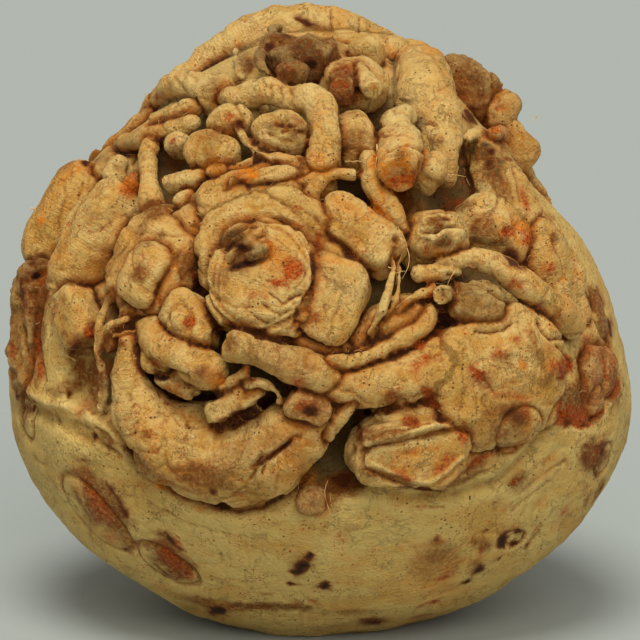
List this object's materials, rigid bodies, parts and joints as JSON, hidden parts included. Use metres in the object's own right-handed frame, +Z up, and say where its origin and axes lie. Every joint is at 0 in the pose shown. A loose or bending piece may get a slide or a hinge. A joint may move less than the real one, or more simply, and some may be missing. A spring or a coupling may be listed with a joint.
{
  "type": "celeriac root",
  "caption": "Whole unpeeled celeriac: a lumpy ball of pale skin with a tangle of cut side roots in front and the trimmed leaf crown behind.",
  "frame": {"origin": "on the surface it rests on, under the middle of its bounding box", "axes": "+Z up, -Y towards the side with the tangle of roots, +X to the right as that side is seen, -Y to +Y through to the leaf crown"},
  "size_m": [0.1392, 0.1328, 0.1365],
  "materials": {
    "celeriac_skin": "matt, slightly waxy skin"
  },
  "bodies": {
    "root": {"celeriac": "celeriac_skin"}
  },
  "joints": []
}
